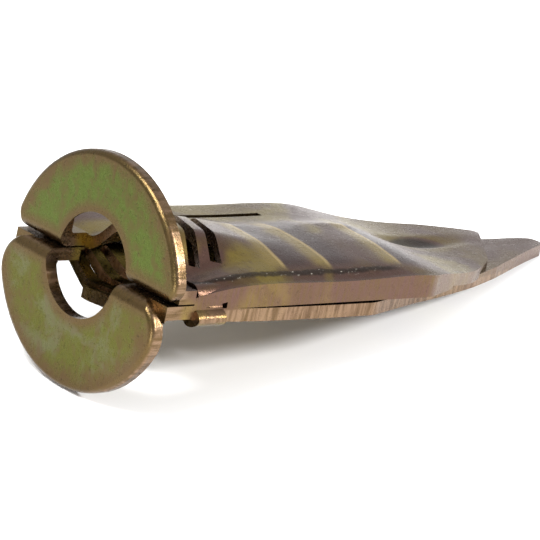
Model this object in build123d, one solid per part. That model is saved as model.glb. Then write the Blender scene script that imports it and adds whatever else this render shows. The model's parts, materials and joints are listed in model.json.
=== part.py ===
from build123d import *
import math
import os

os.makedirs("parts", exist_ok=True)

# Drywall anchor stamped and folded from one steel strip, millimetres.
# X runs from the head to the tip, Z is across the fold, the hinge strap is on the -Y side.
# It is formed about the centre of the screw hole, on the front plane of the upper flange, and
# is then laid down as it rests, with its origin on the ground under the middle of its box.

# Driving sizes
head_d = 15.0
body_w = 13.8
body_l = 38.6
sheet = 0.8
hole_d = 6.1
passage_d = 4.3
tray_top = 1.4
leg_gap = 0.1

# Flanges: half discs folded outward, the lower one sits one sheet further forward
head_r = head_d / 2
half_w = body_w / 2
hole_r = hole_d / 2
bend_out = 0.7
bend_in = 0.2
head_top = sheet + leg_gap / 2
flange_front_low = -sheet
rim_round = 0.35
upper_corner = 1.0
lower_corner = 2.0
upper_arc_drop = 0.9
lower_arc_drop = 0.2
join_x = 2.0

# Levels of the two legs away from the head
wall_low = -0.35
low_top = wall_low - leg_gap
low_under = low_top - sheet
tip_top = wall_low + sheet
spread_end_x = 5.0

# Stations along the body
upper_end_x = 0.905 * body_l
end_slant = 4.4
end_far = 0.28
end_near = 0.46
tray_fade_x = 20.5
tray_flat_x = 25.5
near_taper_x = 21.6
joggle_x = upper_end_x + leg_gap
joggle_l = 0.9
tip_r = 0.8
strap_x0 = 2.2
strap_x1 = 4.3
wall_x0 = strap_x1 + 0.25
wall_x1 = 24.6

# Thread strips: the sheet bows out round the screw and is cut by slanted slots
crest = passage_d / 2 + sheet - 0.1
bow_y = -1.2
bow_half_w = 4.0
bow_fade_x = 7.2
bow_end_x = 9.6
window_x = 1.9
slot_w = 0.75
slot_half_l = 3.6
slot_slope = 0.4
upper_slots = (3.9, 5.5, 7.1)
lower_slots = (3.4, 5.0, 6.6)

# Stiffening relief: a low mound with three slanted saw-tooth ridges, and a stake dimple
mound_h = 0.35
mound_y = -1.3
ridge_h = 0.6
ridge_ramp = 3.0
ridge_drop = 0.5
ridge_slope = 0.12
ridge_y0 = -5.8
ridge_y1 = 1.4
ridge_stations = (10.4, 14.1, 20.1)
dimple_x = 27.5
dimple_y = 0.6
dimple_l = 4.8
dimple_w = 2.1
dimple_h = 0.5

# Rounded shoulders along the two long edges of the tray
shoulder_w = 1.0
shoulder_h = 0.4

# Slit between the far rim and the centre of the upper leg
slit_y = 3.8
slit_w = 0.5
slit_x0 = 5.6
slit_x1 = 16.4


def ease(a, b, v):
    """Smooth step from 0 at a to 1 at b."""
    t = min(max((v - a) / (b - a), 0.0), 1.0)
    return t * t * (3 - 2 * t)


def bow(x, y):
    """Fraction of the outward bow of the thread strips."""
    across = 1 - ease(0.3 * bow_half_w, bow_half_w, abs(y - bow_y))
    return across * (1 - ease(bow_fade_x, bow_end_x, x))


def ridges(x, y):
    """Saw-tooth crests, a slow rise from the head side and a steep drop to the tip side."""
    side = ease(ridge_y0 - 0.6, ridge_y0 + 1.0, y) * (1 - ease(ridge_y1 - 1.2, ridge_y1 + 1.0, y))
    total = 0.0
    for station in ridge_stations:
        s = x - (station + ridge_slope * y)
        rise = ease(-ridge_ramp, 0.0, s)
        fall = 1 - ease(0.0, ridge_drop, s)
        total += rise * fall
    return side * total


def mound(x, y):
    """Low swelling along the centre line."""
    along = ease(7.0, 11.0, x) * (1 - ease(18.0, tray_flat_x, x))
    return along * (1 - ease(1.0, 5.0, abs(y - mound_y)))


def dimple(x, y):
    """Elongated stake dimple."""
    r = math.hypot((x - dimple_x) / (dimple_l / 2), (y - dimple_y) / (dimple_w / 2))
    return 1 - ease(0.45, 1.0, r)


def upper_face(x, y):
    """Height of the outer side of the upper leg."""
    base = head_top + (tray_top - head_top) * ease(join_x + 0.3, spread_end_x, x)
    base -= (tray_top - tip_top) * ease(tray_fade_x, tray_flat_x, x)
    lift = (crest - base) * bow(x, y)
    edge = half_w - abs(y)
    drop = shoulder_h * (1 - ease(0, shoulder_w, edge)) * (1 - ease(tray_fade_x - 2, tray_flat_x - 2, x))
    relief = mound_h * mound(x, y) + ridge_h * ridges(x, y) - dimple_h * dimple(x, y)
    return base + lift + relief - drop


def lower_face(x, y):
    """Height of the outer side of the lower leg, the half-turn counterpart of the upper one."""
    base = head_top - (head_top + low_under) * ease(join_x + 0.3, spread_end_x, x)
    start = joggle_x + (min(y / half_w, end_far) - end_far) * end_slant / (end_far + end_near)
    base -= (tip_top - low_top) * ease(start, start + joggle_l, x)
    lift = (crest - base) * bow(x, -y)
    relief = mound_h * mound(x, -y) + ridge_h * ridges(x, -y) + dimple_h * dimple(x, y)
    return -(base + lift + relief)


def formed_face(height, shift):
    """Smooth face through the heights of one side of a formed leg."""
    step = 0.5
    nx = int((body_l + 2 - join_x) / step) + 1
    ny = int((body_w + 3) / step) + 1
    rows = []
    for i in range(nx):
        x = join_x + i * step
        row = []
        for j in range(ny):
            y = -(ny - 1) * step / 2 + j * step
            row.append(Vector(x, y, height(x, y) + shift))
        rows.append(row)
    return Face.make_surface_from_array_of_points(rows, tol=0.01, smoothing=(1, 1, 1), min_deg=3, max_deg=5)


def prism(points, radii, z0, z1):
    """Upright prism over a polygon whose corners are rounded."""
    outline = make_face(Polyline(*points, close=True))
    flat = outline
    for (x, y), r in zip(points, radii):
        if r > 0:
            corner = flat.vertices().sort_by_distance((x, y, 0))[0]
            flat = fillet(corner, r)
    return extrude(Plane.XY.offset(z0) * flat, z1 - z0)


tip_half = math.atan((end_far + end_near) / 2 * half_w / (body_l - upper_end_x + end_slant / 2))
tip_apex = body_l + tip_r * (1 / math.sin(tip_half) - 1)
upper_points = [
    (join_x, -half_w),
    (near_taper_x, -half_w),
    (0.72 * body_l, -0.68 * half_w),
    (upper_end_x - end_slant, -end_near * half_w),
    (upper_end_x, end_far * half_w),
    (0.8 * body_l, 0.56 * half_w),
    (0.7 * body_l, 0.72 * half_w),
    (0.585 * body_l, 0.85 * half_w),
    (0.485 * body_l, 0.97 * half_w),
    (0.4 * body_l, half_w),
    (join_x, half_w),
]
upper_radii = (0, 2.5, 4, 0.4, 0.4, 3, 3, 2, 2, 2.5, 0)
lower_points = [
    (join_x, -half_w),
    (16.8, -half_w),
    (0.56 * body_l, -0.81 * half_w),
    (0.74 * body_l, -0.6 * half_w),
    (upper_end_x - end_slant + 0.8, -(end_near + 0.03) * half_w),
    (tip_apex, -0.07 * half_w),
    (upper_end_x, end_far * half_w),
    (0.8 * body_l, 0.53 * half_w),
    (0.7 * body_l, 0.68 * half_w),
    (0.585 * body_l, 0.8 * half_w),
    (0.45 * body_l, 0.95 * half_w),
    (join_x, half_w),
]
lower_radii = (0, 2.5, 2, 2, 0.4, tip_r, 0.4, 2, 2, 2, 2.5, 0)
inset = [(x, y - math.copysign(sheet, y)) for x, y in upper_points]


def slots(stations, sense):
    """Slanted slots between the thread strips, and the open window behind the hole."""
    cutters = []
    for station in stations:
        angle = -sense * math.degrees(math.atan(slot_slope))
        bar = Box(slot_w, 2 * slot_half_l, 4)
        cutters.append(Pos(station + slot_slope * bow_y, sense * bow_y, sense * 2.2) * Rot(0, 0, angle) * bar)
    cutters.append(Pos(join_x / 2, 0, sense * 2) * Box(2 * window_x - join_x, hole_d, 4))
    return cutters


def upper_leg():
    """Shallow tray with down-turned sides that runs out into a flat point."""
    depth = 6
    outline = prism(upper_points, upper_radii, wall_low, 5)
    plate = extrude(formed_face(upper_face, -sheet), sheet, (0, 0, 1)) & prism(upper_points, upper_radii, -5, 5)
    span = wall_x1 - wall_x0
    ring = outline - prism(inset, (0,) * len(inset), -5, 6)
    ring &= Pos(wall_x0 + span / 2, 0, 0) * Box(span, body_w + 2, 20)
    walls = ring & extrude(formed_face(upper_face, -depth - sheet / 2), depth, (0, 0, 1))
    leg = plate + walls
    leg -= Pos((slit_x0 + slit_x1) / 2, slit_y, 1) * Box(slit_x1 - slit_x0, slit_w, 2)
    return leg


def lower_leg():
    """Formed plate that passes below the upper leg and joggles up into the arrow tip."""
    skin = extrude(formed_face(lower_face, 0), sheet, (0, 0, 1))
    return skin & prism(lower_points, lower_radii, -5, 5)


def flange(sense, front, arc_drop, corner):
    """Half-disc flange with its bend and the short flat that joins the leg."""
    back = front + sheet
    level = leg_gap / 2
    blank = Pos(0, -arc_drop) * Circle(head_r)
    half = Plane.YZ * (blank & (Pos(0, level + head_r / 2) * Rectangle(head_d, head_r)))
    for side in (-head_r, head_r):
        half = fillet(half.vertices().sort_by_distance((0, side, level))[0], corner)
    disc = Pos(front, 0, 0) * extrude(half, sheet, (1, 0, 0))
    rim = disc.edges().filter_by(lambda e: e.center().X < front + 0.01 and e.center().Z > level + 0.05)
    disc = fillet(rim, rim_round)
    flat = Pos((back + join_x) / 2, 0, 0) * Box(join_x - back, body_w, 4 * head_top)
    strip = Polyline(
        (front, level), (join_x, level), (join_x, head_top), (back, head_top),
        (back, head_d), (front, head_d), close=True,
    )
    profile = make_face(strip)
    profile = fillet(profile.vertices().sort_by_distance((front, level, 0))[0], bend_out)
    profile = fillet(profile.vertices().sort_by_distance((back, head_top, 0))[0], bend_in)
    body = extrude(Plane.XZ * profile, head_r, both=True)
    body &= disc + flat
    body -= Rot(0, 90, 0) * Cylinder(hole_r, 4 * head_d)
    return body if sense > 0 else Rot(180, 0, 0) * body


def strap():
    """Coined hinge strap between the two near edges, swelling outward below the valley."""
    near = -half_w
    outer = Spline(
        (near + 0.9, 1.0), (near + 0.15, 0.75), (near, 0.3), (near + 0.15, -0.12),
        (near - 0.3, -0.55), (near - 0.45, -0.85), (near - 0.1, -1.28), (near + 0.8, low_under),
    )
    inner = Polyline(
        outer @ 1, (near + 1.2, low_under), (near + 1.2, low_top), (near + 0.6, low_top),
        (near + 0.5, -0.15), (near + 0.7, 0.15), (near + 1.2, 0.2), (near + 1.2, 1.0), outer @ 0,
    )
    section = make_face(outer + inner)
    return Plane.YZ.offset(strap_x0) * extrude(section, strap_x1 - strap_x0)


def slotted(leg, stations, sense):
    """Leg with the hole window and the slots between its thread strips cut through."""
    for cutter in slots(stations, sense):
        leg -= cutter
    return leg


if __name__ == "__main__":
    top = slotted(upper_leg() + flange(1, 0, upper_arc_drop, upper_corner), upper_slots, 1)
    bottom = slotted(lower_leg() + flange(-1, flange_front_low, lower_arc_drop, lower_corner), lower_slots, -1)
    folded = top + bottom + strap()
    # At rest it lies on the lower flange's rear edge and the underside of the tip.
    lean = math.degrees(math.atan((head_r - lower_arc_drop + wall_low) / body_l))
    lying = Rot(0, lean, 0) * folded
    box = lying.bounding_box()
    anchor = Pos(-box.center().X, -box.center().Y, -box.min.Z) * lying
    export_step(anchor, "parts/anchor_sheet.step")
    print("anchor_sheet", len(anchor.solids()), "solid", anchor.bounding_box())
    print("hole centre", -box.center().X, -box.center().Y, -box.min.Z, "lean", lean)
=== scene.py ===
import bpy
import json
import math
from types import SimpleNamespace
from mathutils import Matrix, Vector

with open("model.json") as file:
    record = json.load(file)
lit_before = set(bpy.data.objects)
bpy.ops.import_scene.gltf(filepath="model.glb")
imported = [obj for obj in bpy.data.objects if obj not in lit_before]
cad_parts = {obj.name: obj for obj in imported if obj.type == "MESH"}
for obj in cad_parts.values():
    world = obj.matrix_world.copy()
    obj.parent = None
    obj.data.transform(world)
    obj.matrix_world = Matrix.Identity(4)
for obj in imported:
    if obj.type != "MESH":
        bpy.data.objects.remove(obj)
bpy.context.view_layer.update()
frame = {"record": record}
MM = 0.001

# The anchor is formed about the centre of its screw hole, with +X towards the tip and +Z across
# the fold. The record's mount gives where that centre lies and how the body leans at rest.
mount = next(m for m in frame["record"]["mounts"] if m["name"] == "screw_hole")
hole = Vector(mount["pos_m"])
body_x = -Vector(mount["axis"]).normalized()
body_z = Vector((-body_x.z, 0.0, body_x.x))
to_world = Matrix.Translation(hole) @ Matrix((
    (body_x.x, 0.0, body_z.x),
    (0.0, 1.0, 0.0),
    (body_x.z, 0.0, body_z.z),
)).to_4x4()


def srgb(r, g, b):
    """Linear colour from 0-255 display values."""
    def lin(v):
        v /= 255.0
        return v / 12.92 if v <= 0.04045 else ((v + 0.055) / 1.055) ** 2.4
    return (lin(r), lin(g), lin(b), 1.0)


OLIVE = srgb(130, 112, 54)
GREEN = srgb(82, 94, 42)
YELLOW_GREEN = srgb(88, 88, 38)
BRONZE = srgb(92, 72, 48)
COPPER = srgb(138, 112, 90)
MAUVE = srgb(94, 70, 62)
# The next three paint light and shade on the ridges: purple shade behind them, gold light
# before them and a pale gold highlight on their crests
SHADE_PURPLE = srgb(66, 46, 44)
LIT_SLOPE_GOLD = srgb(150, 128, 64)
HIGHLIGHT_PALE_GOLD = srgb(196, 170, 112)
# Dark for painted shade in the dimple and the groove, and for the real dark specks of grime
SHADE_AND_SPECK_DARK = srgb(40, 32, 26)
GREY = srgb(112, 112, 98)
# Pale for the painted glints on the nicks by the groove
GLINT_PALE = srgb(214, 206, 192)

# Places on the body, in its own millimetre frame. A pair is the start and end of a smooth step.
RIDGES = (10.4, 14.1, 20.1)
RIDGE_SLOPE = 0.12
PANEL_NEAR = (-6.0, -5.2)
PANEL_FAR = (2.2, 1.0)
BROWN_TIP = (24.0, 33.0)
DIMPLE = (27.5, 0.6)
DIMPLE_HALF = (2.4, 1.05)
GROOVE_Y = -6.15
GROOVE_END = (19.5, 18.0)
NICKS_END = (20.0, 18.5)
LOWER_LEG = (-0.35, -0.5)
BEHIND_HEAD = (1.5, 2.5)
HEAD = (1.6, 0.9)
UPPER_FLANGE = (-0.2, 0.2)
BLOTCHED = (0.5, -1.0)
RIM_BORDER = (5.6, 7.0)
RIM_WIDENING = 0.1
BEND_BORDER = (1.5, 0.6)
HOLE_BORDER = (3.9, 3.2)

# Parts of the unit normal at which a surface starts and ends counting as facing that way
TOP_FACING = (0.1, 0.4)
SIDE_FACING = (0.6, 0.25)
RIM_FACING = (0.75, 0.3)

BUMP_STRENGTH = 0.25
BUMP_DEPTH = 0.08 * MM


class Tree:
    """Short names for building a node tree."""

    def __init__(self, material):
        material.use_nodes = True
        self.t = material.node_tree
        self.t.nodes.clear()

    def node(self, kind, **sets):
        n = self.t.nodes.new(kind)
        for key, value in sets.items():
            setattr(n, key, value)
        return n

    def put(self, socket, value):
        if hasattr(value, "is_linked"):
            self.t.links.new(value, socket)
        else:
            socket.default_value = value

    def math(self, op, a, b=0.0):
        n = self.node("ShaderNodeMath", operation=op)
        for socket, value in zip(n.inputs, (a, b)):
            self.put(socket, value)
        return n.outputs[0]

    def add(self, a, b):
        return self.math("ADD", a, b)

    def sub(self, a, b):
        return self.math("SUBTRACT", a, b)

    def mul(self, a, b):
        return self.math("MULTIPLY", a, b)

    def step(self, v, a, b):
        """0 at a, 1 at b, smooth between."""
        n = self.node("ShaderNodeMapRange", interpolation_type="SMOOTHSTEP", clamp=True)
        low, high = (a, b) if a < b else (b, a)
        ends = (0.0, 1.0) if a < b else (1.0, 0.0)
        names = ("Value", "From Min", "From Max", "To Min", "To Max")
        for name, value in zip(names, (v, low, high, *ends)):
            self.put(n.inputs[name], value)
        return n.outputs["Result"]

    def noise(self, vector, scale, detail, rough=0.55, distort=0.0):
        n = self.node("ShaderNodeTexNoise")
        self.put(n.inputs["Vector"], vector)
        n.inputs["Scale"].default_value = scale
        n.inputs["Detail"].default_value = detail
        n.inputs["Roughness"].default_value = rough
        n.inputs["Distortion"].default_value = distort
        return n.outputs["Fac"]

    def mix(self, share, a, b):
        """Colour a where share is 0, b where it is 1."""
        n = self.node("ShaderNodeMix", data_type="RGBA")
        self.put(n.inputs[0], share)
        self.put(n.inputs[6], a)
        self.put(n.inputs[7], b)
        return n.outputs[2]

    def tint(self, colour, other, mask, strength):
        """colour, taken that share of the way to other where mask is 1."""
        return self.mix(self.mul(mask, strength), colour, other)

    def stretch(self, vector, scale):
        n = self.node("ShaderNodeVectorMath", operation="MULTIPLY")
        self.put(n.inputs[0], vector)
        n.inputs[1].default_value = scale
        return n.outputs[0]


def body_frame(t):
    """Position and true normal in the body's own millimetre frame, and their separate axes."""
    inverse = to_world.inverted()
    turn = inverse.to_euler("XYZ")
    place = t.node("ShaderNodeMapping", vector_type="POINT")
    place.inputs["Location"].default_value = inverse.to_translation() / MM
    place.inputs["Rotation"].default_value = turn
    place.inputs["Scale"].default_value = (1 / MM,) * 3
    t.put(place.inputs["Vector"], t.node("ShaderNodeTexCoord").outputs["Object"])
    facing = t.node("ShaderNodeMapping", vector_type="VECTOR")
    facing.inputs["Rotation"].default_value = turn
    t.put(facing.inputs["Vector"], t.node("ShaderNodeNewGeometry").outputs["True Normal"])
    axes = []
    for vector in (place.outputs["Vector"], facing.outputs["Vector"]):
        sep = t.node("ShaderNodeSeparateXYZ")
        t.put(sep.inputs[0], vector)
        axes.append([sep.outputs[i] for i in range(3)])
    return place.outputs["Vector"], axes[0], axes[1]


def surface(t):
    """The place, noises and masks that the colours and the relief share."""
    p, (x, y, z), (nx, _, nz) = body_frame(t)
    return SimpleNamespace(
        p=p, x=x, y=y, z=z,
        broad=t.noise(p, 0.15, 2.0, 0.5, 0.8),
        patch=t.noise(t.stretch(p, (0.6, 1.0, 1.0)), 0.38, 4.0, 0.6, 0.8),
        cloud=t.noise(t.stretch(p, (1.0, 1.4, 1.0)), 0.9, 5.0, 0.65, 0.5),
        grain=t.noise(p, 3.2, 6.0, 0.75),
        fine=t.noise(p, 10.0, 4.0, 0.7),
        ribs=t.noise(t.stretch(p, (5.0, 2.0, 0.5)), 1.0, 3.0),
        ticks=t.noise(t.stretch(p, (0.4, 4.0, 4.0)), 1.0, 3.0),
        on_top=t.step(nz, *TOP_FACING),
        side=t.mul(t.step(t.math("ABSOLUTE", nz), *SIDE_FACING), t.step(x, *BEHIND_HEAD)),
        head=t.step(x, *HEAD),
        sheared=t.step(t.math("ABSOLUTE", nx), *RIM_FACING),
    )


def wander(t, s, width):
    """Makes a border uneven, over that width in millimetres."""
    return t.mul(t.sub(s.cloud, 0.5), width)


def leg_colour(t, s):
    """Olive with mauve and bronze clouds, browner towards the tip."""
    colour = t.mix(t.step(s.broad, 0.44, 0.60), OLIVE, MAUVE)
    colour = t.tint(colour, BRONZE, t.step(s.patch, 0.48, 0.66), 0.7)
    return t.tint(colour, MAUVE, t.step(s.x, *BROWN_TIP), 0.75)


def ridge_light_and_shade(t, s, colour):
    """Painted light on each ridge: a lit gold slope before it, purple painted shade behind it
    and a pale painted highlight along its crest.
    """
    along = t.sub(s.x, t.mul(s.y, RIDGE_SLOPE))
    panel = t.mul(t.step(s.y, *PANEL_NEAR), t.step(s.y, *PANEL_FAR))
    for station in RIDGES:
        off = t.sub(along, station)
        # painted light on the slope before the ridge, painted shade behind it
        lit_before = t.mul(t.step(off, -1.6, -0.5), t.step(off, 0.1, -0.1))
        shade_behind = t.mul(t.step(off, -0.05, 0.35), t.step(off, 3.0, 1.2))
        # painted highlight along the crest
        crest_highlight = t.step(t.math("ABSOLUTE", off), 0.22, 0.06)
        colour = t.tint(colour, LIT_SLOPE_GOLD, t.mul(lit_before, panel), 0.85)
        colour = t.tint(colour, SHADE_PURPLE, t.mul(shade_behind, panel), 0.9)
        colour = t.tint(colour, HIGHLIGHT_PALE_GOLD, t.mul(crest_highlight, panel), 0.7)
    return colour


def dimple_shade_and_ring(t, s, colour):
    """Painted shade in the hollow of the stake dimple, with an olive ring around it."""
    squares = [
        t.math("POWER", t.math("DIVIDE", t.sub(v, middle), half), 2.0)
        for v, middle, half in zip((s.x, s.y), DIMPLE, DIMPLE_HALF)
    ]
    dip = t.math("SQRT", t.add(*squares))
    ring = t.mul(t.step(dip, 1.0, 1.2), t.step(dip, 2.0, 1.3))
    # painted shade darkening the dimple's hollow
    colour = t.tint(colour, SHADE_AND_SPECK_DARK, t.mul(t.step(dip, 1.05, 0.7), s.on_top), 0.85)
    return t.tint(colour, OLIVE, t.mul(ring, s.on_top), 0.5)


def groove_shade_and_glints(t, s, colour):
    """Painted shade along the groove just inside the near edge of the tray, with its nicks
    painted as bright glints.
    """
    off = t.math("ABSOLUTE", t.add(t.sub(s.y, GROOVE_Y), wander(t, s, 0.5)))
    # painted shade darkening the groove
    groove_shade = t.mul(t.mul(t.step(off, 0.26, 0.08), t.step(s.x, *GROOVE_END)), s.on_top)
    # the nicks are real; their white is a painted glint
    glint_spots = t.step(t.noise(t.stretch(s.p, (3.0, 9.0, 9.0)), 1.0, 2.0), 0.66, 0.72)
    nick_glints = t.mul(t.mul(glint_spots, t.step(off, 0.3, 0.12)), t.step(s.x, *NICKS_END))
    return t.mix(nick_glints, t.tint(colour, SHADE_AND_SPECK_DARK, groove_shade, 0.8), GLINT_PALE)


def leg_edge_colour(t, s, colour):
    """Sheared edges, ribbed across the sheet: bronze, with copper on the lower leg."""
    colour = t.tint(colour, t.mix(t.step(s.ribs, 0.3, 0.75), MAUVE, BRONZE), s.side, 0.7)
    low_edge = t.mul(s.side, t.step(s.z, *LOWER_LEG))
    return t.tint(colour, t.mix(t.step(s.ribs, 0.35, 0.65), BRONZE, COPPER), low_edge, 0.7)


def flange_colour(t, s):
    """Green faces, brown along the rim, the bends and the hole, with ticked copper edges."""
    upper = t.step(s.z, *UPPER_FLANGE)
    colour = t.mix(upper, YELLOW_GREEN, GREEN)
    colour = t.tint(colour, BRONZE, t.step(s.cloud, 0.42, 0.66), 0.55)
    blotch = t.step(t.add(s.patch, t.mul(s.grain, 0.3)), 0.6, 0.8)
    colour = t.tint(colour, GREY, t.mul(blotch, t.step(s.z, *BLOTCHED)), 0.3)

    radius = t.math("SQRT", t.add(t.mul(s.y, s.y), t.mul(s.z, s.z)))
    widened = t.add(radius, t.mul(upper, t.mul(s.z, RIM_WIDENING)))
    rim = t.step(t.add(widened, wander(t, s, 1.6)), *RIM_BORDER)
    bend = t.step(t.add(t.math("ABSOLUTE", s.z), wander(t, s, 1.2)), *BEND_BORDER)
    lip = t.step(t.add(radius, wander(t, s, 0.8)), *HOLE_BORDER)
    border = t.math("MAXIMUM", t.math("MAXIMUM", rim, bend), lip)
    colour = t.tint(colour, BRONZE, border, 0.85)
    return t.tint(colour, t.mix(t.step(s.ticks, 0.35, 0.68), BRONZE, COPPER), s.sheared, 0.8)


def grime(t, s, colour):
    """Fine grey mottling and dark specks over everything."""
    colour = t.tint(colour, GREY, t.step(s.fine, 0.58, 0.74), 0.35)
    return t.tint(colour, SHADE_AND_SPECK_DARK, t.step(s.grain, 0.46, 0.28), 0.45)


def relief(t, s):
    """Height of the plating's texture and of the marks on the sheared edges."""
    height = t.add(t.mul(s.grain, 0.7), t.mul(s.fine, 0.5))
    height = t.add(height, t.mul(t.mul(s.side, s.ribs), 0.15))
    height = t.add(height, t.mul(t.mul(t.mul(s.head, s.sheared), s.ticks), 0.15))
    return t.add(height, t.mul(s.cloud, 0.8))


def plated_steel():
    """Yellow-chromated zinc on sheet steel."""
    material = bpy.data.materials.new("chromated_steel")
    t = Tree(material)
    s = surface(t)
    colour = leg_colour(t, s)
    # The ridge, dimple and groove layers paint light and shade; the edge layer is the sheared
    # edges' own colour
    for layer in (ridge_light_and_shade, dimple_shade_and_ring, groove_shade_and_glints, leg_edge_colour):
        colour = layer(t, s, colour)
    colour = grime(t, s, t.mix(s.head, colour, flange_colour(t, s)))

    bump = t.node("ShaderNodeBump")
    bump.inputs["Strength"].default_value = BUMP_STRENGTH
    bump.inputs["Distance"].default_value = BUMP_DEPTH
    t.put(bump.inputs["Height"], relief(t, s))
    shader = t.node("ShaderNodeBsdfPrincipled")
    shader.inputs["Metallic"].default_value = 1.0
    t.put(shader.inputs["Base Color"], colour)
    roughness = t.add(0.14, t.add(t.mul(s.grain, 0.16), t.mul(s.cloud, 0.12)))
    t.put(shader.inputs["Roughness"], roughness)
    t.put(shader.inputs["Normal"], bump.outputs[0])
    out = t.node("ShaderNodeOutputMaterial")
    t.put(out.inputs["Surface"], shader.outputs[0])
    return material


anchor = bpy.data.objects["anchor_sheet"]
anchor.data.materials.clear()
anchor.data.materials.append(plated_steel())


# In front of the head, off its near side and above it: place and aim in the body's own
# millimetre frame, roll in degrees
CAMERA_AT = (-101.79, -112.36, 43.41)
CAMERA_AIM = (12.287, -2.086, 0.0)
CAMERA_ROLL = 12.623
LENS_MM = 184.0
SENSOR_MM = 36.0
CLIP_M = (0.005, 10.0)


def camera():
    """Long-lens view, set in the body's own frame."""
    data = bpy.data.cameras.new("camera")
    data.sensor_width = SENSOR_MM
    data.lens = LENS_MM
    data.clip_start, data.clip_end = CLIP_M
    cam = bpy.data.objects.new("camera", data)
    bpy.context.scene.collection.objects.link(cam)
    place = Vector(CAMERA_AT)
    aimed = (Vector(CAMERA_AIM) - place).to_track_quat("-Z", "Y").to_matrix().to_4x4()
    roll = Matrix.Rotation(math.radians(CAMERA_ROLL), 4, "Z")
    cam.matrix_world = to_world @ Matrix.Translation(place * MM) @ aimed @ roll
    bpy.context.scene.camera = cam


camera()


FLOOR_HALF = 2.0
FLOOR_WHITE = 0.86
FLOOR_ROUGHNESS = 0.9

mesh = bpy.data.meshes.new("floor")
signs = ((-1, -1), (1, -1), (1, 1), (-1, 1))
mesh.from_pydata([(FLOOR_HALF * x, FLOOR_HALF * y, 0) for x, y in signs], [], [(0, 1, 2, 3)])
floor = bpy.data.objects.new("floor", mesh)
bpy.context.scene.collection.objects.link(floor)
paper = bpy.data.materials.new("floor")
paper.use_nodes = True
matt = paper.node_tree.nodes["Principled BSDF"]
matt.inputs["Base Color"].default_value = (FLOOR_WHITE, FLOOR_WHITE, FLOOR_WHITE, 1)
matt.inputs["Roughness"].default_value = FLOOR_ROUGHNESS
mesh.materials.append(paper)


WORLD_STRENGTH = 0.8

world = bpy.data.worlds.new("world")
bpy.context.scene.world = world
world.use_nodes = True
sky = world.node_tree.nodes["Background"]
sky.inputs["Color"].default_value = (1, 1, 1, 1)
sky.inputs["Strength"].default_value = WORLD_STRENGTH


# Name, place and width in metres, power in watts
LIGHTS = (
    ("key", (-0.14, 0.02, 0.26), 0.10, 1.0),
    ("side", (0.16, -0.24, 0.16), 0.07, 1.6),
    ("front", (-0.30, -0.16, 0.03), 0.06, 0.35),
)
LIGHT_AIM = (0, 0, 0.006)


def area(name, place, width, power):
    """Soft square light aimed at the middle of the anchor."""
    data = bpy.data.lights.new(name, "AREA")
    data.shape = "SQUARE"
    data.size = width
    data.energy = power
    light = bpy.data.objects.new(name, data)
    bpy.context.scene.collection.objects.link(light)
    light.location = place
    ahead = Vector(LIGHT_AIM) - Vector(place)
    light.rotation_euler = ahead.to_track_quat("-Z", "Y").to_euler()


for light_facts in LIGHTS:
    area(*light_facts)

bpy.context.scene.view_settings.view_transform = "Standard"
